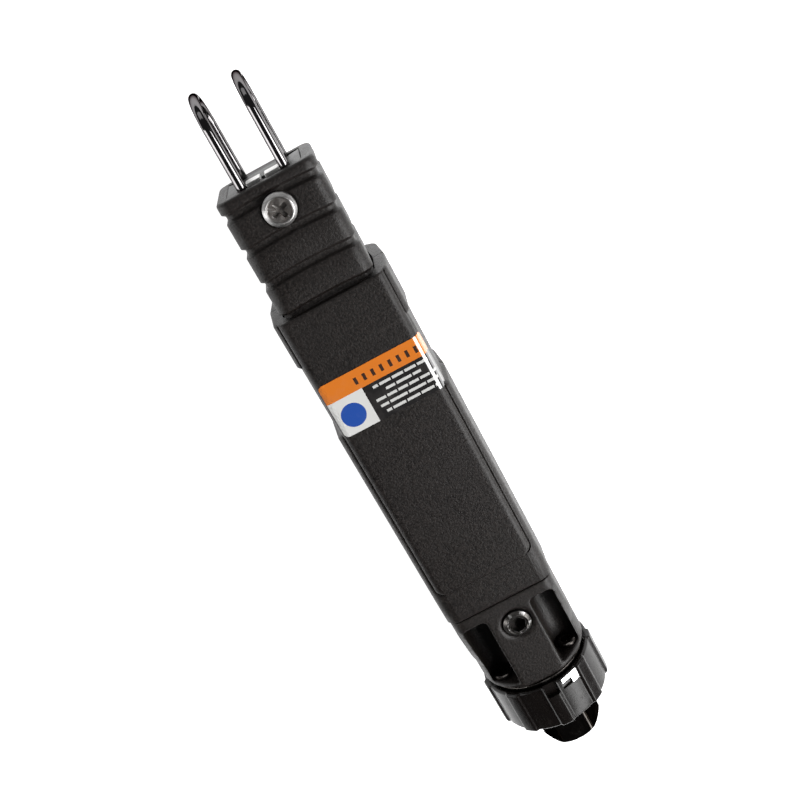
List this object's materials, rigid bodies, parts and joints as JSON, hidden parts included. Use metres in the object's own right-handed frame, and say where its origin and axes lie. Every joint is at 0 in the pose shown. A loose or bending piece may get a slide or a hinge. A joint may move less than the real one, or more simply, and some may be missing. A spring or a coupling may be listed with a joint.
{
  "type": "punch down tool",
  "caption": "Impact punch down tool with a fluted twist-lock nose collar, sprung hexagonal spindle, black case, ribbed tail grip and two bent wire hooks.",
  "frame": {"origin": "on the resting surface, under the middle of the tool's bounding box", "axes": "+Y along the tool from the spindle towards the wire hooks, +Z out of the front panel with the label, +X to the right seen from the front"},
  "size_m": [0.0338, 0.2076, 0.034],
  "materials": {
    "casing": "fine-textured black moulded plastic",
    "grip": "black textured moulded plastic",
    "collar": "glossy black moulded plastic",
    "chrome": "polished chrome-plated wire",
    "bright_steel": "polished plate",
    "steel": "machined steel",
    "screw_steel": "zinc-plated steel",
    "dark_steel": "black-oxide steel",
    "spring_steel": "drawn spring wire",
    "zinc": "die-cast zinc",
    "bronze": "sintered bronze",
    "rubber": "black rubber",
    "label_vinyl": "laminated printed vinyl"
  },
  "bodies": {
    "root": {"front_shell": "casing", "rear_shell": "casing", "nose_housing": "casing", "tail_grip": "grip", "guide_plate": "grip", "clamp_block": "zinc", "clamp_plate": "steel", "clamp_screw": "screw_steel", "hook_left": "chrome", "hook_right": "chrome", "label": "label_vinyl", "set_screw": "screw_steel", "nose_screw_1": "dark_steel", "nose_screw_2": "dark_steel", "nose_screw_3": "dark_steel", "nose_screw_4": "dark_steel", "case_screw_1": "dark_steel", "case_screw_2": "dark_steel", "case_screw_3": "dark_steel", "case_screw_4": "dark_steel", "nose_flange": "dark_steel", "wave_washer": "spring_steel", "ring_clip": "steel", "nose_bushing": "bronze", "bumper_ring": "rubber", "trip_cam": "steel", "barrel": "steel", "main_spring": "spring_steel", "spring_seat": "steel", "tension_screw": "steel", "barrel_cap": "steel"},
    "spindle": {"spindle": "dark_steel", "return_spring": "spring_steel"},
    "hammer": {"hammer": "steel", "trip_spring": "spring_steel"},
    "trip_plate": {"trip_plate": "steel"},
    "lock_ring": {"lock_ring": "collar", "index_tab": "bright_steel"}
  },
  "joints": [
    {"name": "spindle_slide", "type": "slide", "parent": "root", "child": "spindle", "axis": [0, 1, 0], "range_m": [0, 0.01], "stiffness_N_per_m": 2500, "springref_m": -0.004},
    {"name": "hammer_slide", "type": "slide", "parent": "root", "child": "hammer", "axis": [0, 1, 0], "range_m": [0, 0.01], "deforming": ["main_spring"]},
    {"name": "trip_slide", "type": "slide", "parent": "hammer", "child": "trip_plate", "axis": [-1, 0, 0], "range_m": [0, 0.0015], "deforming": ["trip_spring"]},
    {"name": "lock_ring_turn", "type": "hinge", "parent": "root", "child": "lock_ring", "pos_m": [0, -0.0821, 0.0171], "axis": [0, 1, 0], "range_deg": [-40, 0]}
  ],
  "couplings": [
    {"joint": "hammer_slide", "follows": "spindle_slide", "ratio": 1},
    {"joint": "trip_slide", "follows": "spindle_slide", "ratio": 0.15}
  ]
}
